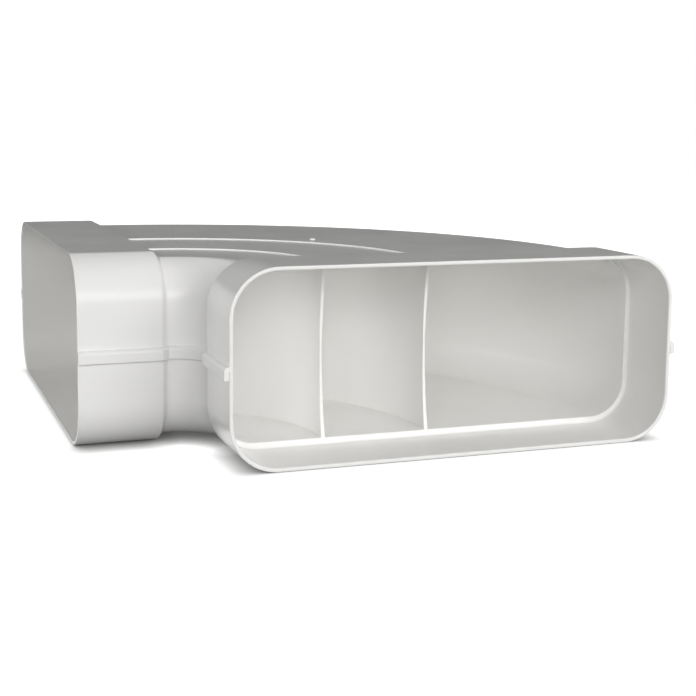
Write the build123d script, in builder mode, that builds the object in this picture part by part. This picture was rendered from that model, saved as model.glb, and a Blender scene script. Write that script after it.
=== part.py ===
"""Horizontal 90 degree bend for flat ventilation duct, moulded in white plastic.

Two half shells meet in a lap joint near mid height, and each carries half of two turning vanes.
Both ends are sockets that slide over the flat duct as far as an inner stop.
The bend lies flat: one mouth faces -Y, the other -X, and the plane x = y mirrors one onto the other.
"""
import os

from build123d import *

# Flat duct that the sockets take: outside sizes, in millimetres
duct_width = 222.0
duct_height = 89.0
duct_corner_radius = 21.0

# Sockets: depth is from the mouth to the inner stop, length is the straight outside
wall = 1.9
socket_clearance = 0.3
socket_depth = 36.5
socket_length = 40.0
rim_chamfer = 0.4

# Stop: how far it stands in from the outside of the duct, and the chamfer at its foot
stop_height = 2.7
stop_chamfer = 1.0

# Slope from a socket down to the slimmer bend, and the outside radius of its tight inner wall
shoulder_run = 3.5
throat_radius = 17.1

# Lap joint: a skirt of the upper shell runs along the sides, outside the lower shell's wall
parting_height = 47.4
skirt_drop = 4.0
skirt_height = 6.2
skirt_proud = 2.4
skirt_chamfer = 1.0
lap_clearance = 0.15

# Turning vanes: places from the passage's inner wall, thinnest where the two halves meet
vane_places = (51.6, 105.8)
vane_root = 2.0
vane_tip = 1.1
vane_setback = 0.3
vane_edge_hollow = 4.5

# Ribs on the roof over the vanes, and the gate mark outside them on the diagonal
rib_width = 2.6
rib_height = 0.9
gate_mark_radius = 1.6
gate_mark_height = 0.6
gate_mark_reach = 142.0

# Section sizes that follow from the duct: bore, socket, passage and body of the bend
bore_width = duct_width + 2 * socket_clearance
bore_height = duct_height + 2 * socket_clearance
bore_radius = duct_corner_radius + socket_clearance
socket_width = bore_width + 2 * wall
socket_height = bore_height + 2 * wall
socket_radius = bore_radius + wall
passage_width = duct_width - 2 * stop_height
passage_height = duct_height - 2 * stop_height
passage_radius = duct_corner_radius - stop_height
body_width = passage_width + 2 * wall
body_height = passage_height + 2 * wall
body_radius = passage_radius + wall

# Plan places: the origin is on the floor under the middle of the square footprint
lead = socket_length + shoulder_run
axis_radius = throat_radius + body_width / 2
footprint = lead + axis_radius + socket_width / 2 + skirt_proud
mouth = -footprint / 2
bend_centre = mouth + lead
duct_axis = bend_centre + axis_radius

# Heights above the floor, which the sockets rest on
mid_height = socket_height / 2
roof = mid_height + body_height / 2
skirt_bottom = parting_height - skirt_drop

diagonal = Plane(origin=(0, 0, 0), x_dir=(1, 1, 0), z_dir=(1, -1, 0))
turning_axis = Axis((bend_centre, bend_centre, 0), (0, 0, 1))


def across_duct(depth):
    """Plane across the duct that faces -Y, centred on its axis, this far behind the mouth."""
    return Plane(origin=(duct_axis, mouth + depth, mid_height), x_dir=(1, 0, 0), z_dir=(0, -1, 0))


# Outside of both sockets, their shoulders and the bend, as one block
with BuildPart() as envelope:
    with BuildSketch(across_duct(0)):
        RectangleRounded(socket_width, socket_height, socket_radius)
    extrude(amount=-socket_length)
    with BuildSketch(across_duct(socket_length)):
        RectangleRounded(socket_width, socket_height, socket_radius)
    with BuildSketch(across_duct(lead)):
        RectangleRounded(body_width, body_height, body_radius)
    loft()
    mirror(about=diagonal)
    with BuildSketch(across_duct(lead)):
        RectangleRounded(body_width, body_height, body_radius)
    revolve(axis=turning_axis, revolution_arc=90)

# Air passage: a bore for the duct at each end, and the narrower passage that stops the duct
with BuildPart() as passage:
    with BuildSketch(across_duct(0)):
        RectangleRounded(bore_width, bore_height, bore_radius)
    extrude(amount=-socket_depth)
    chamfer(passage.faces().sort_by(Axis.Y)[-1].edges(), length=stop_chamfer)
    with BuildSketch(across_duct(socket_depth)):
        RectangleRounded(passage_width, passage_height, passage_radius)
    extrude(amount=socket_depth - lead)
    mirror(about=diagonal)
    with BuildSketch(across_duct(lead)):
        RectangleRounded(passage_width, passage_height, passage_radius)
    revolve(axis=turning_axis, revolution_arc=90)

# Vanes, waisted at the parting and rooted in floor and roof, with hollow leading edges
vane_reach = (passage_height + wall) / 2
vane_waist = parting_height - mid_height
vane_lead = lead - socket_depth - vane_setback
vane_radii = [throat_radius + wall + place for place in vane_places]
hollow_radius = (passage_height**2 / 4 + vane_edge_hollow**2) / (2 * vane_edge_hollow)
hollow_centre = mouth + socket_depth + vane_setback + vane_edge_hollow - hollow_radius
with BuildPart() as vanes:
    with BuildSketch(across_duct(lead)) as vane_sections:
        with Locations([(radius - axis_radius, 0) for radius in vane_radii]):
            Polygon(
                (-vane_root / 2, -vane_reach),
                (vane_root / 2, -vane_reach),
                (vane_tip / 2, vane_waist),
                (vane_root / 2, vane_reach),
                (-vane_root / 2, vane_reach),
                (-vane_tip / 2, vane_waist),
                align=None,
            )
    extrude(amount=vane_lead)
    with BuildSketch(Plane.YZ.offset(duct_axis)):
        with Locations((hollow_centre, mid_height)):
            Circle(hollow_radius)
    extrude(amount=passage_width / 2, both=True, mode=Mode.SUBTRACT)
    mirror(about=diagonal)
    revolve(vane_sections.sketch.faces(), axis=turning_axis, revolution_arc=90)

# Whole hollow fitting with its mouth rims broken, before it is parted
with BuildPart() as fitting:
    add(envelope.part)
    add(passage.part, mode=Mode.SUBTRACT)
    front_rim = fitting.faces().filter_by(Axis.Y).sort_by(Axis.Y)[0]
    side_rim = fitting.faces().filter_by(Axis.X).sort_by(Axis.X)[0]
    chamfer(front_rim.edges() + side_rim.edges(), length=rim_chamfer)
    add(vanes.part)

# Plan outline of the side walls at mid height, closed across both mouths
with BuildSketch() as plan:
    with BuildLine() as plan_outline:
        Polyline(
            (duct_axis - socket_width / 2, mouth),
            (duct_axis - socket_width / 2, mouth + socket_length),
            (duct_axis - body_width / 2, bend_centre),
        )
        Polyline(
            (duct_axis + socket_width / 2, mouth),
            (duct_axis + socket_width / 2, mouth + socket_length),
            (duct_axis + body_width / 2, bend_centre),
        )
        Line((duct_axis - socket_width / 2, mouth), (duct_axis + socket_width / 2, mouth))
        mirror(about=diagonal)
        CenterArc((bend_centre, bend_centre), throat_radius, 0, 90)
        CenterArc((bend_centre, bend_centre), throat_radius + body_width, 0, 90)
    make_face()

with BuildPart() as lower_shell:
    add(fitting.part)
    split(bisect_by=Plane.XY.offset(parting_height), keep=Keep.BOTTOM)

# Skirt: a proud band along the sides, cleared below the parting for the lower shell's wall
with BuildPart() as skirt:
    with BuildSketch(Plane.XY.offset(skirt_bottom)):
        add(plan.sketch)
        offset(amount=skirt_proud, kind=Kind.INTERSECTION)
        Rectangle(footprint, footprint, mode=Mode.INTERSECT)
    extrude(amount=skirt_height)
    chamfer(skirt.edges().filter_by(Plane.XY), length=skirt_chamfer)
    with BuildSketch(Plane.XY.offset(skirt_bottom)):
        add(plan.sketch)
        offset(amount=lap_clearance, kind=Kind.INTERSECTION)
    extrude(amount=skirt_drop, mode=Mode.SUBTRACT)
    add(passage.part, mode=Mode.SUBTRACT)

with BuildPart() as upper_shell:
    add(fitting.part)
    split(bisect_by=Plane.XY.offset(parting_height), keep=Keep.TOP)
    add(skirt.part)
    with BuildSketch(across_duct(lead)):
        with Locations([(radius - axis_radius, body_height / 2) for radius in vane_radii]):
            Rectangle(rib_width, 2 * rib_height)
    revolve(axis=turning_axis, revolution_arc=90)
    with BuildSketch(Plane.XY.offset(roof)):
        with Locations((bend_centre, bend_centre)):
            with PolarLocations(gate_mark_reach, 1, start_angle=45):
                Circle(gate_mark_radius)
    extrude(amount=gate_mark_height)

os.makedirs("parts", exist_ok=True)
for name, shell in (("lower_shell", lower_shell), ("upper_shell", upper_shell)):
    shell.part.label = name
    export_step(shell.part, f"parts/{name}.step")
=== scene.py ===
"""Looks of a horizontal 90 degree bend for flat ventilation duct, in white moulded PVC.

The fitting is modelled whole at the sizes of the frame, with rounded rims, soft shoulders, an inner
stop and two waisted turning vanes, and is then parted into its two half shells. The upper shell also
carries the skirt of the lap joint, two ribs on the roof and the gate mark.
"""
import logging
import math
from collections.abc import Callable, Sequence
from dataclasses import dataclass, replace
from enum import Enum

import bmesh
import bpy
from mathutils import Matrix, Vector


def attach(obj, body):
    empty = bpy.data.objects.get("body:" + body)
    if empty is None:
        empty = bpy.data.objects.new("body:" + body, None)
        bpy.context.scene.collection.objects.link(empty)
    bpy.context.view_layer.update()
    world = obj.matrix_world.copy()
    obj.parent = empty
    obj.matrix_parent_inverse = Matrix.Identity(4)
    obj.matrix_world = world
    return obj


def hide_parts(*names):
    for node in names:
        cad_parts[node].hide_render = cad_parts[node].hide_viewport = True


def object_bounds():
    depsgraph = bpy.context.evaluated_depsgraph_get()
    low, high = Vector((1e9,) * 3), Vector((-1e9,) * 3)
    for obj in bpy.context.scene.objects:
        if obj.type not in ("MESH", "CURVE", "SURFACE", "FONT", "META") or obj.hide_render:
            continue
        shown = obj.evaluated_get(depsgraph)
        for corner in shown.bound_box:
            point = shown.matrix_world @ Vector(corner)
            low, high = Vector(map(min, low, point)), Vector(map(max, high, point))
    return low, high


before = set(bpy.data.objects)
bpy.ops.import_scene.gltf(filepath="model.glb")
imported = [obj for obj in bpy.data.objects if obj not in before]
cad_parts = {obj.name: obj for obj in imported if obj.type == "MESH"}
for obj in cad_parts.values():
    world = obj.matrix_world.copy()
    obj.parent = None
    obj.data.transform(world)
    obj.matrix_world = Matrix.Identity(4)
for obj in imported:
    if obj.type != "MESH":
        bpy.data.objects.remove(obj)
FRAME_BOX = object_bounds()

log = logging.getLogger("duct_bend")

# The object's sizes are in millimetres, and meshes, lamps and flags are in metres
MM = 0.001
# How near, in millimetres, a corner is to a place that it counts as on, and to a double of itself
NEAR = 0.02
DOUBLE = 0.005
QUARTER = math.radians(90)
UP = Vector((0.0, 0.0, 1.0))
WHITE = (1.0, 1.0, 1.0, 1.0)

PlaceTest = Callable[[Vector], bool]


@dataclass(frozen=True)
class Section:
    """Rounded rectangle across the duct."""

    width: float
    height: float
    radius: float

    def grown(self, by: float) -> "Section":
        """Returns the section with its outline moved outwards by a distance."""
        return Section(self.width + 2 * by, self.height + 2 * by, self.radius + by)

    def off_outline(self, across: float, up: float) -> float:
        """Measures how far a point is outside the outline.

        Args:
            across: sideways place of the point, from the section's centre.
            up: height of the point, from the section's centre.

        Returns:
            The distance, negative inside.
        """
        over = abs(across) - self.width / 2 + self.radius
        above = abs(up) - self.height / 2 + self.radius
        return math.hypot(max(over, 0), max(above, 0)) + min(max(over, above), 0) - self.radius


@dataclass(frozen=True)
class BendSizes:
    """Driving sizes of the bend, and the places that follow from them."""

    duct: Section = Section(222.0, 89.0, 21.0)
    wall: float = 1.9
    socket_clearance: float = 0.3
    socket_depth: float = 36.5
    socket_length: float = 40.0
    stop_height: float = 2.7
    side_stop_height: float = 1.7
    shoulder_run: float = 3.5
    throat_radius: float = 17.1
    parting_height: float = 47.4
    skirt_drop: float = 4.0
    skirt_height: float = 6.2
    skirt_proud: float = 2.4
    lap_clearance: float = 0.15
    vane_places: tuple[float, ...] = (51.6, 105.8)

    @property
    def bore(self) -> Section:
        """Inside of a socket, which the duct slides into."""
        return self.duct.grown(self.socket_clearance)

    @property
    def socket(self) -> Section:
        """Outside of a socket."""
        return self.bore.grown(self.wall)

    @property
    def passage(self) -> Section:
        """Inside of the bend past the stop, at the stop's full height all round."""
        return self.duct.grown(-self.stop_height)

    @property
    def channel(self) -> Section:
        """Inside of the bend as its walls show it, with the lower stop at the sides."""
        relief = self.stop_height - self.side_stop_height
        return replace(self.passage, width=self.passage.width + 2 * relief)

    @property
    def body(self) -> Section:
        """Outside of the bend between its sockets."""
        return self.passage.grown(self.wall)

    @property
    def lead(self) -> float:
        """Distance from a mouth to where the turn starts."""
        return self.socket_length + self.shoulder_run

    @property
    def axis_radius(self) -> float:
        """Radius of the duct's axis round the turn."""
        return self.throat_radius + self.body.width / 2

    @property
    def mouth(self) -> float:
        """Place of the two mouths, which is the low side of the frame's box."""
        return FRAME_BOX[0].x / MM

    @property
    def bend_centre(self) -> float:
        """Both plan places of the axis that the bend turns about."""
        return self.mouth + self.lead

    @property
    def duct_axis(self) -> float:
        """Sideways place of the middle of each mouth."""
        return self.bend_centre + self.axis_radius

    @property
    def mid_height(self) -> float:
        """Height of the middle of both mouths."""
        return self.socket.height / 2

    @property
    def roof(self) -> float:
        """Height of the flat top of the bend."""
        return self.mid_height + self.body.height / 2

    @property
    def vane_radii(self) -> tuple[float, ...]:
        """Radius of each turning vane round the turn."""
        return tuple(self.throat_radius + self.wall + place for place in self.vane_places)


SIZES = BendSizes()


class Mouth(Enum):
    """The two open ends of the bend."""

    FRONT = "front"
    SIDE = "side"

    def point(self, across: float, depth: float, height: float) -> Vector:
        """Gives a place in the frame from a place in this mouth.

        Args:
            across: sideways distance from the middle of the mouth.
            depth: distance behind the mouth.
            height: height above the floor.

        Returns:
            The place in metres.
        """
        plan = (SIZES.duct_axis + across, SIZES.mouth + depth)
        if self is Mouth.SIDE:
            plan = plan[::-1]
        return Vector((*plan, height)) * MM

    def measure(self, place: Vector) -> tuple[float, float, float]:
        """Finds where a place in the frame is in this mouth.

        Args:
            place: the place in metres.

        Returns:
            How far across, how deep and how high it is, as point takes them.
        """
        plan = (place.x / MM, place.y / MM)
        if self is Mouth.SIDE:
            plan = plan[::-1]
        return plan[0] - SIZES.duct_axis, plan[1] - SIZES.mouth, place.z / MM

    @property
    def yaw(self) -> float:
        """Turn about the upright from the front mouth to this one."""
        return 0.0 if self is Mouth.FRONT else QUARTER


def make_active(piece: bpy.types.Object) -> None:
    """Selects one piece alone and makes it the active one.

    Args:
        piece: the piece to select.
    """
    bpy.ops.object.select_all(action="DESELECT")
    piece.select_set(True)
    bpy.context.view_layer.objects.active = piece


def open_piece(name: str) -> bpy.types.Object:
    """Starts an empty piece and opens it in edit mode.

    Args:
        name: name of the piece.

    Returns:
        The new object, at the origin.
    """
    piece = bpy.data.objects.new(name, bpy.data.meshes.new(name))
    bpy.context.scene.collection.objects.link(piece)
    make_active(piece)
    bpy.ops.object.mode_set(mode="EDIT")
    return piece


def close_piece() -> None:
    """Merges doubles, turns all faces outwards and leaves edit mode."""
    bpy.ops.mesh.select_all(action="SELECT")
    bpy.ops.mesh.remove_doubles(threshold=DOUBLE * MM)
    bpy.ops.mesh.normals_make_consistent(inside=False)
    bpy.ops.object.mode_set(mode="OBJECT")


def pick_edges(piece: bpy.types.Object, here: PlaceTest) -> None:
    """Selects the edges of the open piece that have both ends at a place.

    Args:
        piece: the piece that is open in edit mode.
        here: test of a corner's place.
    """
    bpy.ops.mesh.select_mode(type="EDGE")
    bpy.ops.mesh.select_all(action="DESELECT")
    mesh = bmesh.from_edit_mesh(piece.data)
    found = {corner for corner in mesh.verts if here(corner.co)}
    for edge in mesh.edges:
        edge.select_set(found.issuperset(edge.verts))
    bmesh.update_edit_mesh(piece.data)


def pick_corners(piece: bpy.types.Object, here: PlaceTest) -> None:
    """Selects the corners of the open piece at a place.

    Args:
        piece: the piece that is open in edit mode.
        here: test of a corner's place.
    """
    bpy.ops.mesh.select_mode(type="VERT")
    bpy.ops.mesh.select_all(action="DESELECT")
    mesh = bmesh.from_edit_mesh(piece.data)
    for corner in mesh.verts:
        corner.select_set(here(corner.co))
    bmesh.update_edit_mesh(piece.data)


def at_depth(mouth: Mouth, depth: float) -> PlaceTest:
    """Returns a test for places at one depth behind a mouth."""
    return lambda place: abs(mouth.measure(place)[1] - depth) < NEAR


def at_height(height: float) -> PlaceTest:
    """Returns a test for places at one height above the floor."""
    return lambda place: abs(place.z / MM - height) < NEAR


def add_upright(mouth: Mouth, centre: tuple[float, float, float], width: float, height: float) -> None:
    """Adds an upright rectangle to the open piece, across a mouth, and leaves it selected.

    Args:
        mouth: the mouth that it lies across.
        centre: its middle, as across, depth and height at that mouth.
        width: its size across.
        height: its size upwards.
    """
    bpy.ops.mesh.select_mode(type="VERT")
    bpy.ops.mesh.select_all(action="DESELECT")
    middle = mouth.point(*centre)
    bpy.ops.mesh.primitive_plane_add(size=MM, location=middle, rotation=(QUARTER, 0.0, mouth.yaw))
    bpy.ops.transform.resize(value=(width, width, height), center_override=middle)


def extrude_by(step: Sequence[float]) -> None:
    """Extrudes what is selected and moves it by a step, in millimetres."""
    bpy.ops.mesh.extrude_region_move(TRANSFORM_OT_translate={"value": Vector(step) * MM})


def turn_from_front(steps: int) -> None:
    """Spins the selected edges through the quarter turn, from the front mouth to the side mouth."""
    centre = Vector((SIZES.bend_centre, SIZES.bend_centre, 0.0)) * MM
    bpy.ops.mesh.spin(steps=steps, angle=-QUARTER, center=centre, axis=UP)


def apply_modifier(piece: bpy.types.Object, kind: str, **settings: object) -> None:
    """Adds a modifier to a piece and applies it.

    Args:
        piece: the piece to change.
        kind: Blender's name of the kind of modifier.
        settings: the modifier's settings.
    """
    make_active(piece)
    modifier = piece.modifiers.new(kind.title(), kind)
    for name, value in settings.items():
        setattr(modifier, name, value)
    bpy.ops.object.modifier_apply(modifier=modifier.name)


@dataclass(frozen=True)
class EdgeRound:
    """A rounding along all edges that turn by more than an angle, in degrees."""

    radius: float
    steps: int
    angle: float
    clamped: bool = True

    def apply(self, piece: bpy.types.Object) -> None:
        """Rounds the edges of a closed piece.

        Args:
            piece: the piece to change.
        """
        apply_modifier(
            piece,
            "BEVEL",
            width=self.radius * MM,
            segments=self.steps,
            limit_method="ANGLE",
            angle_limit=math.radians(self.angle),
            use_clamp_overlap=self.clamped,
        )


def join_pieces(into: bpy.types.Object, others: Sequence[bpy.types.Object]) -> bpy.types.Object:
    """Joins pieces into one object.

    Args:
        into: the piece that stays.
        others: the pieces that become part of it.

    Returns:
        The joined piece.
    """
    make_active(into)
    for other in others:
        other.select_set(True)
    bpy.ops.object.join()
    return into


@dataclass(frozen=True)
class Ring:
    """An outline across the duct, some way behind a mouth."""

    outline: Section
    depth: float

    def at(self, mouth: Mouth) -> PlaceTest:
        """Gives the test for places on this ring.

        Args:
            mouth: the mouth that the ring is behind.

        Returns:
            The test.
        """

        def here(place: Vector) -> bool:
            """Tests one place.

            Args:
                place: the place in metres.

            Returns:
                Whether it is on the ring.
            """
            across, depth, height = mouth.measure(place)
            off = self.outline.off_outline(across, height - SIZES.mid_height)
            return abs(off) < NEAR and abs(depth - self.depth) < NEAR

        return here


@dataclass
class HollowBody:
    """The walls of the fitting: both sockets with rims and stops, shoulders and the turn."""

    corner_steps: int = 14
    turn_steps: int = 72
    shoulder_steps: int = 8
    rim_round: float = 0.4
    rim_steps: int = 3
    lead_in_round: float = 0.8
    lead_in_steps: int = 4
    stop_foot_round: float = 1.2
    stop_foot_steps: int = 6
    stop_edge_round: float = 0.4
    stop_edge_steps: int = 3
    draft: float = 0.05

    def profile(self) -> list[Ring]:
        """Lists the rings from the passage out to the mouth and back along the outside.

        Returns:
            The passage, stop edge, stop foot, inner rim, outer rim and then the rings of the shoulder.
        """
        rings = [
            Ring(SIZES.channel, SIZES.lead),
            Ring(SIZES.channel, SIZES.socket_depth),
            Ring(SIZES.bore, SIZES.socket_depth - self.draft),
            Ring(SIZES.bore, self.draft),
            Ring(SIZES.socket, 0.0),
        ]
        drop = (SIZES.socket.height - SIZES.body.height) / 2
        for step in range(self.shoulder_steps + 1):
            share = step / self.shoulder_steps
            eased = (1 - math.cos(math.pi * share)) / 2
            depth = SIZES.socket_length + SIZES.shoulder_run * share
            rings.append(Ring(SIZES.socket.grown(-drop * eased), depth))
        return rings

    def add_ring(self, mouth: Mouth, ring: Ring) -> None:
        """Adds one ring of the profile: a plane with rounded corners, of which the edges are kept.

        Args:
            mouth: the mouth that the ring is behind.
            ring: the ring.
        """
        outline = ring.outline
        add_upright(mouth, (0.0, ring.depth, SIZES.mid_height), outline.width, outline.height)
        bpy.ops.mesh.bevel(offset=outline.radius * MM, segments=self.corner_steps, affect="VERTICES")
        bpy.ops.mesh.delete(type="ONLY_FACE")

    def round_ring(self, piece: bpy.types.Object, ring: Ring, by: float, steps: int) -> None:
        """Rounds the edge along one ring of the profile at both mouths.

        Args:
            piece: the body, open in edit mode.
            ring: the ring.
            by: radius of the rounding.
            steps: faces across the rounding.
        """
        for mouth in Mouth:
            pick_edges(piece, ring.at(mouth))
            bpy.ops.mesh.bevel(offset=by * MM, segments=steps, affect="EDGES", clamp_overlap=False)

    def build(self) -> bpy.types.Object:
        """Models the walls from rings that are bridged at the mouths and spun round the turn.

        Returns:
            The closed hollow body.
        """
        piece = open_piece("hollow_body")
        rings = self.profile()
        for ring in rings:
            self.add_ring(Mouth.FRONT, ring)
        for ring in rings[1:-1]:
            self.add_ring(Mouth.SIDE, ring)
        for ring in (rings[0], rings[-1]):
            pick_edges(piece, ring.at(Mouth.FRONT))
            turn_from_front(self.turn_steps)
        for mouth in Mouth:
            for near, far in zip(rings, rings[1:]):
                on_near, on_far = near.at(mouth), far.at(mouth)
                pick_edges(piece, lambda place: on_near(place) or on_far(place))
                bpy.ops.mesh.bridge_edge_loops()
        bpy.ops.mesh.select_all(action="SELECT")
        bpy.ops.mesh.normals_make_consistent(inside=False)
        _, stop_edge, stop_foot, inner_rim, outer_rim = rings[:5]
        self.round_ring(piece, outer_rim, self.rim_round, self.rim_steps)
        self.round_ring(piece, inner_rim, self.lead_in_round, self.lead_in_steps)
        self.round_ring(piece, stop_foot, self.stop_foot_round, self.stop_foot_steps)
        self.round_ring(piece, stop_edge, self.stop_edge_round, self.stop_edge_steps)
        close_piece()
        return piece


@dataclass
class TurningVane:
    """A curved vane that splits the air, thinnest at the parting, with hollow leading edges."""

    radius: float
    root: float = 2.0
    tip: float = 1.1
    setback: float = 0.3
    edge_hollow: float = 4.5
    edges: EdgeRound = EdgeRound(0.25, 2, 60.0, clamped=False)
    turn_steps: int = 72
    hollow_steps: int = 720

    def add_section(self, piece: bpy.types.Object) -> None:
        """Draws the waisted section where the turn starts, as a loop of edges.

        Args:
            piece: the vane, open in edit mode.
        """
        across = self.radius - SIZES.axis_radius
        height = SIZES.passage.height + SIZES.wall
        add_upright(Mouth.FRONT, (across, SIZES.lead, SIZES.mid_height), self.root, height)
        waist = Mouth.FRONT.point(across, SIZES.lead, SIZES.parting_height)
        bpy.ops.mesh.bisect(plane_co=waist, plane_no=UP)
        pick_corners(piece, at_height(SIZES.parting_height))
        bpy.ops.transform.resize(value=(self.tip / self.root, 1.0, 1.0), center_override=waist)
        bpy.ops.mesh.select_all(action="SELECT")
        bpy.ops.mesh.dissolve_faces()
        bpy.ops.mesh.delete(type="ONLY_FACE")

    def hollow_out(self, piece: bpy.types.Object, mouth: Mouth) -> None:
        """Cuts the vane's edge at one mouth to a shallow arc.

        Args:
            piece: the vane.
            mouth: the mouth that the edge faces.
        """
        half = SIZES.passage.height / 2
        radius = (half**2 + self.edge_hollow**2) / (2 * self.edge_hollow)
        deepest = SIZES.socket_depth + self.setback + self.edge_hollow
        bpy.ops.object.select_all(action="DESELECT")
        bpy.ops.mesh.primitive_cylinder_add(
            vertices=self.hollow_steps,
            radius=radius * MM,
            depth=SIZES.passage.width * MM,
            location=mouth.point(0.0, deepest - radius, SIZES.mid_height),
            rotation=(0.0, QUARTER, mouth.yaw),
        )
        cutter = bpy.context.object
        apply_modifier(piece, "BOOLEAN", operation="DIFFERENCE", solver="EXACT", object=cutter)
        bpy.data.objects.remove(cutter)

    def build(self) -> bpy.types.Object:
        """Models one vane from floor to roof.

        Returns:
            The vane, rooted half a wall deep in floor and roof.
        """
        piece = open_piece("turning_vane")
        self.add_section(piece)
        reach = SIZES.lead - SIZES.socket_depth - self.setback
        pick_edges(piece, at_depth(Mouth.FRONT, SIZES.lead))
        turn_from_front(self.turn_steps)
        extrude_by((-reach, 0.0, 0.0))
        bpy.ops.mesh.edge_face_add()
        pick_edges(piece, at_depth(Mouth.FRONT, SIZES.lead))
        extrude_by((0.0, -reach, 0.0))
        bpy.ops.mesh.edge_face_add()
        close_piece()
        for mouth in Mouth:
            self.hollow_out(piece, mouth)
        self.edges.apply(piece)
        return piece


class Side(Enum):
    """The two side walls that the lap joint runs along, by the way that their outside faces."""

    OUTER = 1
    INNER = -1


@dataclass
class LapSkirt:
    """A proud band of the upper shell that hangs over the lower shell's wall along one side."""

    side: Side
    top_round: float = 1.9
    foot_round: float = 0.3
    round_steps: int = 6
    seat: float = 0.9
    turn_steps: int = 72

    def add_section(self, piece: bpy.types.Object) -> None:
        """Draws the band's section at the front mouth, with the lip above the parting that joins the wall.

        Args:
            piece: the band, open in edit mode.
        """
        out = self.side.value
        wall_at = out * SIZES.socket.width / 2
        inside = wall_at + out * SIZES.lap_clearance
        outside = wall_at + out * SIZES.skirt_proud
        bottom = SIZES.parting_height - SIZES.skirt_drop
        top = bottom + SIZES.skirt_height
        middle = ((inside + outside) / 2, 0.0, (bottom + top) / 2)
        add_upright(Mouth.FRONT, middle, SIZES.skirt_proud - SIZES.lap_clearance, SIZES.skirt_height)
        bpy.ops.mesh.bisect(plane_co=UP * SIZES.parting_height * MM, plane_no=UP)

        def at_lip(place: Vector) -> bool:
            """Tests whether a place is on the inside of the band, at the parting or above it."""
            across, _, height = Mouth.FRONT.measure(place)
            return abs(across - inside) < NEAR and height > SIZES.parting_height - NEAR

        pick_edges(piece, at_lip)
        extrude_by((-out * (self.seat + SIZES.lap_clearance), 0.0, 0.0))
        bpy.ops.mesh.select_mode(type="FACE")
        bpy.ops.mesh.select_all(action="SELECT")
        bpy.ops.mesh.dissolve_faces()
        for height, rounding in ((bottom, self.foot_round), (top, self.top_round)):
            corner = Mouth.FRONT.point(outside, 0.0, height)
            pick_corners(piece, lambda place: (place - corner).length < NEAR * MM)
            bpy.ops.mesh.bevel(offset=rounding * MM, segments=self.round_steps, affect="VERTICES")
        bpy.ops.mesh.select_all(action="SELECT")
        bpy.ops.mesh.delete(type="ONLY_FACE")

    def build(self) -> bpy.types.Object:
        """Models the band: its section is led along the wall from the front mouth to the side mouth.

        Returns:
            The closed band.
        """
        piece = open_piece("lap_skirt")
        self.add_section(piece)
        jog = -self.side.value * (SIZES.socket.width - SIZES.body.width) / 2
        pick_edges(piece, at_depth(Mouth.FRONT, 0.0))
        extrude_by((0.0, SIZES.socket_length, 0.0))
        extrude_by((jog, SIZES.shoulder_run, 0.0))
        turn_from_front(self.turn_steps)
        extrude_by((-SIZES.shoulder_run, -jog, 0.0))
        extrude_by((-SIZES.socket_length, 0.0, 0.0))
        for mouth in Mouth:
            pick_edges(piece, at_depth(mouth, 0.0))
            bpy.ops.mesh.edge_face_add()
        close_piece()
        return piece


@dataclass
class RoofRib:
    """A low rib on the roof, right over one vane."""

    radius: float
    width: float = 2.6
    height: float = 0.6
    edges: EdgeRound = EdgeRound(0.3, 3, 60.0)
    turn_steps: int = 72

    def build(self) -> bpy.types.Object:
        """Models the rib round the turn.

        Returns:
            The rib, sunk into the roof by its own height.
        """
        piece = open_piece("roof_rib")
        across = self.radius - SIZES.axis_radius
        add_upright(Mouth.FRONT, (across, SIZES.lead, SIZES.roof), self.width, 2 * self.height)
        bpy.ops.mesh.delete(type="ONLY_FACE")
        pick_edges(piece, at_depth(Mouth.FRONT, SIZES.lead))
        turn_from_front(self.turn_steps)
        for mouth in Mouth:
            pick_edges(piece, at_depth(mouth, SIZES.lead))
            bpy.ops.mesh.edge_face_add()
        close_piece()
        self.edges.apply(piece)
        return piece


@dataclass
class GateMark:
    """The small round stub that the runner leaves on the roof, broken off with a dimple."""

    reach: float = 142.0
    radius: float = 1.6
    height: float = 0.6
    sides: int = 32
    dimple_rim: float = 0.7
    dimple_depth: float = 0.3
    edges: EdgeRound = EdgeRound(0.2, 3, 30.0)

    def build(self) -> bpy.types.Object:
        """Models the stub on the bend's diagonal.

        Returns:
            The stub, sunk into the roof by its own height.
        """
        along = SIZES.bend_centre + self.reach * math.sqrt(0.5)
        bpy.ops.object.select_all(action="DESELECT")
        bpy.ops.mesh.primitive_cylinder_add(
            vertices=self.sides, radius=self.radius * MM, depth=2 * self.height * MM
        )
        piece = bpy.context.object
        piece.name = "gate_mark"
        bpy.ops.object.mode_set(mode="EDIT")
        bpy.ops.transform.translate(value=Vector((along, along, SIZES.roof)) * MM)
        pick_corners(piece, at_height(SIZES.roof + self.height))
        bpy.ops.mesh.inset(thickness=self.dimple_rim * MM, depth=-self.dimple_depth * MM)
        close_piece()
        self.edges.apply(piece)
        return piece


class Half(Enum):
    """The two mouldings that the fitting is glued together from, by the frame's node of each."""

    LOWER = "lower_shell"
    UPPER = "upper_shell"


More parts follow.
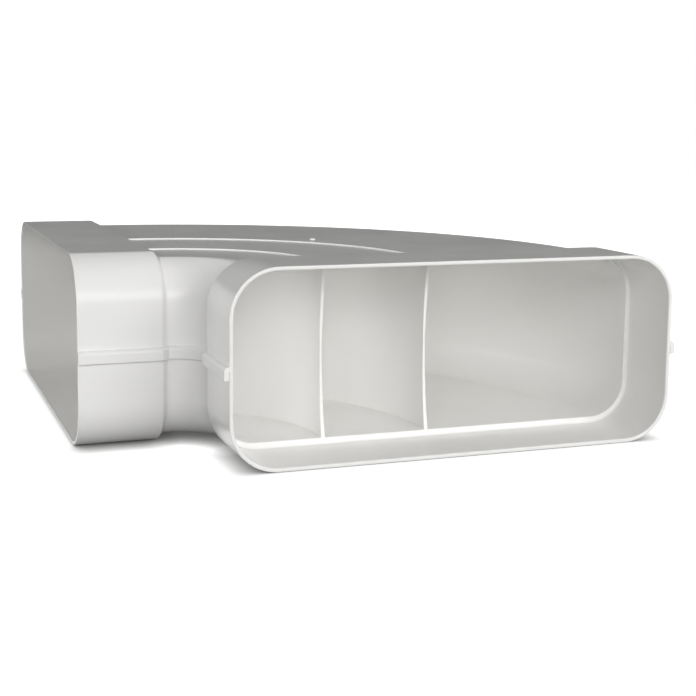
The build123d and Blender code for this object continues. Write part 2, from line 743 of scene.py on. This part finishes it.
@dataclass
class HalfShell:
    """One moulding: half of the hollow fitting with its vanes, and what is moulded on outside."""

    half: Half
    trims: tuple[LapSkirt | RoofRib | GateMark, ...] = ()
    smooth_angle: float = 32.0

    def build(self, whole: bpy.types.Object) -> bpy.types.Object:
        """Copies the whole fitting, cuts away all but this half and adds the half's trims.

        Args:
            whole: the fitting before it is parted.

        Returns:
            The half, closed along the parting.
        """
        make_active(whole)
        bpy.ops.object.duplicate()
        piece = bpy.context.object
        bpy.ops.object.mode_set(mode="EDIT")
        bpy.ops.mesh.select_all(action="SELECT")
        bpy.ops.mesh.bisect(
            plane_co=UP * SIZES.parting_height * MM,
            plane_no=UP,
            use_fill=True,
            clear_outer=self.half is Half.LOWER,
            clear_inner=self.half is Half.UPPER,
        )
        bpy.ops.object.mode_set(mode="OBJECT")
        if self.trims:
            join_pieces(piece, [trim.build() for trim in self.trims])
        return piece

    def dress(self, piece: bpy.types.Object, finish: bpy.types.Material) -> None:
        """Names the half, smooths its shading, gives it its finish and seats it on the frame.

        Args:
            piece: the half's finished mesh.
            finish: its material.
        """
        piece.name = f"{self.half.name.lower()}_half"
        piece.data.name = piece.name
        make_active(piece)
        bpy.ops.object.shade_smooth_by_angle(angle=math.radians(self.smooth_angle))
        apply_modifier(piece, "WEIGHTED_NORMAL", keep_sharp=True)
        piece.data.materials.clear()
        piece.data.materials.append(finish)
        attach(piece, "root")
        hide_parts(self.half.value)


def linear(code: str) -> tuple[float, float, float, float]:
    """Turns an sRGB colour into a linear one.

    Args:
        code: the colour as a hex value.

    Returns:
        The linear colour, with full alpha.
    """
    shares = [int(code[at:at + 2], 16) / 255 for at in (1, 3, 5)]
    light = [s / 12.92 if s <= 0.04045 else ((s + 0.055) / 1.055) ** 2.4 for s in shares]
    return (*light, 1.0)


def add_node(
    tree: bpy.types.NodeTree, kind: str, inputs: dict[str | int, object] | None = None, **settings: object
) -> bpy.types.Node:
    """Adds a node with its settings, and fills or links its inputs.

    Args:
        tree: the node tree.
        kind: Blender's name of the kind of node.
        inputs: by name or number of an input, its value or the output that it is linked from.
        settings: the node's own settings.

    Returns:
        The new node.
    """
    node = tree.nodes.new(kind)
    for name, value in settings.items():
        setattr(node, name, value)
    for name, value in (inputs or {}).items():
        if isinstance(value, bpy.types.NodeSocket):
            tree.links.new(value, node.inputs[name])
        else:
            node.inputs[name].default_value = value
    return node


def empty_tree(block: bpy.types.Material | bpy.types.World) -> bpy.types.NodeTree:
    """Turns on the nodes of a material or world and clears them.

    Args:
        block: the material or world.

    Returns:
        Its node tree, with no nodes in it.
    """
    block.use_nodes = True
    block.node_tree.nodes.clear()
    return block.node_tree


@dataclass(frozen=True)
class Unevenness:
    """A random pattern: how wide its spots are, in millimetres, and how far they break up."""

    spot: float
    detail: float


@dataclass(frozen=True)
class WhitePvc:
    """Rigid white PVC, injection moulded in a satin tool: pale and even, with a soft clear sheen.

    The pigment is a little uneven over centimetres, the satin of the tool is a fine grain, and thin
    walls over ribs sink by hundredths of a millimetre, which makes long reflections waver.
    """

    pale: str = "#f9f9f8"
    deep: str = "#f6f5f3"
    ior: float = 1.53
    roughness: tuple[float, float] = (0.18, 0.26)
    cloud: Unevenness = Unevenness(38.0, 3.0)
    # The real grain is near 0.05 mm, too fine to show, so it is drawn coarser
    grain: Unevenness = Unevenness(0.6, 2.0)
    grain_height: float = 0.006
    waver: Unevenness = Unevenness(26.0, 1.0)
    waver_height: float = 0.05

    def material(self) -> bpy.types.Material:
        """Makes the finish.

        Returns:
            The finish as a material.
        """
        finish = bpy.data.materials.new("white_moulded_pvc")
        tree = empty_tree(finish)
        place = add_node(tree, "ShaderNodeTexCoord").outputs["Object"]
        cloud, grain, waver = (
            add_node(
                tree,
                "ShaderNodeTexNoise",
                {"Vector": place, "Scale": 1 / (pattern.spot * MM), "Detail": pattern.detail},
            ).outputs["Fac"]
            for pattern in (self.cloud, self.grain, self.waver)
        )
        colour = add_node(
            tree,
            "ShaderNodeMix",
            {"Factor": cloud, "A": linear(self.deep), "B": linear(self.pale)},
            data_type="RGBA",
        )
        smoothest, roughest = self.roughness
        sheen = add_node(
            tree, "ShaderNodeMapRange", {"Value": cloud, "To Min": smoothest, "To Max": roughest}
        )
        wavering = add_node(
            tree, "ShaderNodeBump", {"Height": waver, "Distance": self.waver_height * MM}
        )
        satin = add_node(
            tree,
            "ShaderNodeBump",
            {"Height": grain, "Distance": self.grain_height * MM, "Normal": wavering.outputs["Normal"]},
        )
        shader = add_node(
            tree,
            "ShaderNodeBsdfPrincipled",
            {
                "Base Color": colour.outputs["Result"],
                "Roughness": sheen.outputs["Result"],
                "IOR": self.ior,
                "Normal": satin.outputs["Normal"],
            },
        )
        add_node(tree, "ShaderNodeOutputMaterial", {"Surface": shader.outputs["BSDF"]})
        return finish


@dataclass(frozen=True)
class Camera:
    """The photograph's point of view: lengths in millimetres, turns in degrees."""

    place: tuple[float, float, float] = (-234.0, -697.9, 161.8)
    yaw: float = 20.15
    pitch: float = 8.14
    roll: float = 0.585
    lens: float = 68.5
    shift_y: float = -0.069
    nearest: float = 10.0

    def build(self) -> None:
        """Adds the camera and makes it the scene's own."""
        yaw, pitch, roll = (math.radians(turn) for turn in (self.yaw, self.pitch, self.roll))
        level = Vector((math.sin(yaw), math.cos(yaw), 0.0))
        ahead = level * math.cos(pitch) - UP * math.sin(pitch)
        right = level.cross(UP)
        above = right.cross(ahead)
        right = right * math.cos(roll) + above * math.sin(roll)
        above = right.cross(ahead)
        data = bpy.data.cameras.new("camera")
        data.lens = self.lens
        data.shift_y = self.shift_y
        data.clip_start = self.nearest * MM
        camera = bpy.data.objects.new("camera", data)
        bpy.context.scene.collection.objects.link(camera)
        turn = Matrix((right, above, -ahead)).transposed().to_4x4()
        camera.matrix_world = Matrix.Translation(Vector(self.place) * MM) @ turn
        bpy.context.scene.camera = camera


@dataclass(frozen=True)
class Softbox:
    """A flat rectangular lamp that looks at the object's middle; lengths in metres, turns in degrees.

    Azimuth 0 is in front of the front mouth, and 90 in front of the side mouth. A lamp that isn't
    mirrored lights the object without showing in its sheen.
    """

    name: str
    azimuth: float
    elevation: float
    distance: float
    width: float
    height: float
    watts: float
    mirrored: bool = True

    def build(self) -> None:
        """Adds the lamp, out of the camera's sight."""
        data = bpy.data.lights.new(self.name, "AREA")
        data.shape = "RECTANGLE"
        data.size = self.width
        data.size_y = self.height
        data.energy = self.watts
        lamp = bpy.data.objects.new(self.name, data)
        bpy.context.scene.collection.objects.link(lamp)
        azimuth, elevation = math.radians(self.azimuth), math.radians(self.elevation)
        out = Vector((-math.sin(azimuth), -math.cos(azimuth), 0.0)) * math.cos(elevation)
        out += UP * math.sin(elevation)
        middle = UP * SIZES.mid_height * MM
        aim = out.to_track_quat("Z", "Y").to_matrix().to_4x4()
        lamp.matrix_world = Matrix.Translation(middle + out * self.distance) @ aim
        lamp.visible_camera = False
        lamp.visible_glossy = self.mirrored


@dataclass(frozen=True)
class Flag:
    """A dark card that the object mirrors at low angles; lengths in metres, turns in degrees."""

    name: str
    middle: tuple[float, float, float]
    turns: tuple[float, float, float]
    width: float
    height: float

    def build(self, finish: bpy.types.Material) -> None:
        """Adds the card, out of sight of the camera and in no lamp's way.

        Args:
            finish: the card's material.
        """
        bpy.ops.object.select_all(action="DESELECT")
        turns = [math.radians(turn) for turn in self.turns]
        bpy.ops.mesh.primitive_plane_add(size=1.0, location=self.middle, rotation=turns)
        card = bpy.context.object
        card.name = self.name
        card.scale = (self.width, self.height, 1.0)
        bpy.ops.object.transform_apply(location=False, rotation=False, scale=True)
        card.data.materials.append(finish)
        card.visible_camera = False
        card.visible_diffuse = False
        card.visible_shadow = False
        card.visible_transmission = False


@dataclass(frozen=True)
class Studio:
    """White surroundings, a pale floor, soft lamps, and dark flags behind and beside the object.

    White walls pass light on many times inside the duct, so more bounces than usual are followed.
    """

    bounces: int = 12
    surround_light: float = 0.11
    floor_glow: float = 0.98
    floor_colour: str = "#989896"
    floor_size: float = 8.0
    # How far, in millimetres, the floor lies under the object, and its painted contact shadow reaches
    floor_drop: float = 0.1
    contact_shade: float = 10.0
    shade_samples: int = 6
    flag_colour: str = "#181818"
    flags: tuple[Flag, ...] = (
        Flag("back_flag", (0.513, 1.41, 0.375), (90.0, 0.0, -20.0), 5.0, 0.75),
        Flag("floor_flag", (-0.31, 0.8, 0.001), (0.0, 0.0, 0.0), 0.3, 1.4),
    )
    lamps: tuple[Softbox, ...] = (
        Softbox("front_softbox", -4.0, 16.0, 1.7, 1.6, 0.6, 5.8, mirrored=False),
        Softbox("wide_front_softbox", 1.0, 15.0, 1.7, 2.2, 0.6, 7.4),
        Softbox("right_softbox", -43.0, 12.0, 1.7, 0.8, 0.4, 4.2, mirrored=False),
        Softbox("right_upper_softbox", -25.0, 24.0, 1.7, 0.7, 0.4, 3.8, mirrored=False),
        Softbox("left_softbox", 42.0, 22.0, 1.7, 0.8, 0.5, 4.0, mirrored=False),
        Softbox("side_fill", 106.0, 8.0, 1.7, 0.9, 0.5, 7.2, mirrored=False),
        Softbox("back_fill", 200.0, 9.0, 1.7, 1.4, 0.5, 13.5, mirrored=False),
        Softbox("upper_back_fill", 200.0, 60.0, 1.7, 0.9, 0.9, 2.4, mirrored=False),
    )

    def seen(self, tree: bpy.types.NodeTree) -> bpy.types.NodeSocket:
        """Adds nodes that tell rays that show the surroundings from rays that light the object.

        Args:
            tree: the node tree.

        Returns:
            An output that is 1 for the first kind and 0 for the second.
        """
        path = add_node(tree, "ShaderNodeLightPath")
        plain = {0: path.outputs["Is Camera Ray"], 1: path.outputs["Is Glossy Ray"]}
        direct = add_node(tree, "ShaderNodeMath", plain, operation="MAXIMUM")
        both = {0: direct.outputs[0], 1: path.outputs["Is Transmission Ray"]}
        return add_node(tree, "ShaderNodeMath", both, operation="MAXIMUM").outputs[0]

    def build_surround(self) -> None:
        """Sets a world that is seen as white and lights the object softly."""
        world = bpy.data.worlds.new("white_surround")
        bpy.context.scene.world = world
        tree = empty_tree(world)
        light, white = (
            add_node(tree, "ShaderNodeBackground", {"Color": WHITE, "Strength": strength})
            for strength in (self.surround_light, 1.0)
        )
        shown = add_node(
            tree, "ShaderNodeMixShader", {0: self.seen(tree), 1: light.outputs[0], 2: white.outputs[0]}
        )
        add_node(tree, "ShaderNodeOutputWorld", {"Surface": shown.outputs[0]})

    def build_floor(self) -> None:
        """Adds the floor, which glows for seeing rays alone so that its matt light keeps the real light
        shadow; near the object the glow is darkened by ambient occlusion, a painted contact shadow.
        """
        bpy.ops.object.select_all(action="DESELECT")
        bpy.ops.mesh.primitive_plane_add(size=self.floor_size, location=-UP * self.floor_drop * MM)
        floor = bpy.context.object
        floor.name = "floor"
        finish = bpy.data.materials.new("pale_floor")
        tree = empty_tree(finish)
        matt = add_node(tree, "ShaderNodeBsdfDiffuse", {"Color": linear(self.floor_colour)})
        # Painted contact shadow: ambient occlusion darkens the floor's glow within a short distance of the
        # object
        painted_contact_shadow = add_node(
            tree,
            "ShaderNodeAmbientOcclusion",
            {"Distance": self.contact_shade * MM},
            samples=self.shade_samples,
        )
        unshaded = {0: self.seen(tree), 1: self.floor_glow}
        full = add_node(tree, "ShaderNodeMath", unshaded, operation="MULTIPLY")
        shaded = {0: full.outputs[0], 1: painted_contact_shadow.outputs["AO"]}
        glow_after_painted_shadow = add_node(tree, "ShaderNodeMath", shaded, operation="MULTIPLY")
        glow = add_node(tree, "ShaderNodeEmission", {"Strength": glow_after_painted_shadow.outputs[0]})
        both = add_node(tree, "ShaderNodeAddShader", {0: matt.outputs[0], 1: glow.outputs[0]})
        add_node(tree, "ShaderNodeOutputMaterial", {"Surface": both.outputs[0]})
        floor.data.materials.append(finish)

    def build_flags(self) -> None:
        """Adds the dark flags that draw the edges of the white object, seen in reflections alone."""
        finish = bpy.data.materials.new("grey_flag")
        tree = empty_tree(finish)
        matt = add_node(tree, "ShaderNodeBsdfDiffuse", {"Color": linear(self.flag_colour)})
        add_node(tree, "ShaderNodeOutputMaterial", {"Surface": matt.outputs[0]})
        for flag in self.flags:
            flag.build(finish)

    def build(self) -> None:
        """Sets up the whole studio."""
        bpy.context.scene.view_settings.view_transform = "Standard"
        bpy.context.scene.cycles.diffuse_bounces = self.bounces
        self.build_surround()
        self.build_floor()
        self.build_flags()
        for lamp in self.lamps:
            lamp.build()


def main() -> None:
    """Builds the fitting in order, dresses it and sets the stage."""
    logging.basicConfig(level=logging.INFO, format="%(name)s: %(message)s")
    finish = WhitePvc().material()
    vanes = [TurningVane(radius) for radius in SIZES.vane_radii]
    skirts = [LapSkirt(side) for side in Side]
    ribs = [RoofRib(radius) for radius in SIZES.vane_radii]
    whole = join_pieces(HollowBody().build(), [vane.build() for vane in vanes])
    for shell in (HalfShell(Half.LOWER), HalfShell(Half.UPPER, (*skirts, *ribs, GateMark()))):
        piece = shell.build(whole)
        shell.dress(piece, finish)
        log.info("%s: %d faces", piece.name, len(piece.data.polygons))
    bpy.data.objects.remove(whole)
    Studio().build()
    Camera().build()


if __name__ == "__main__":
    main()
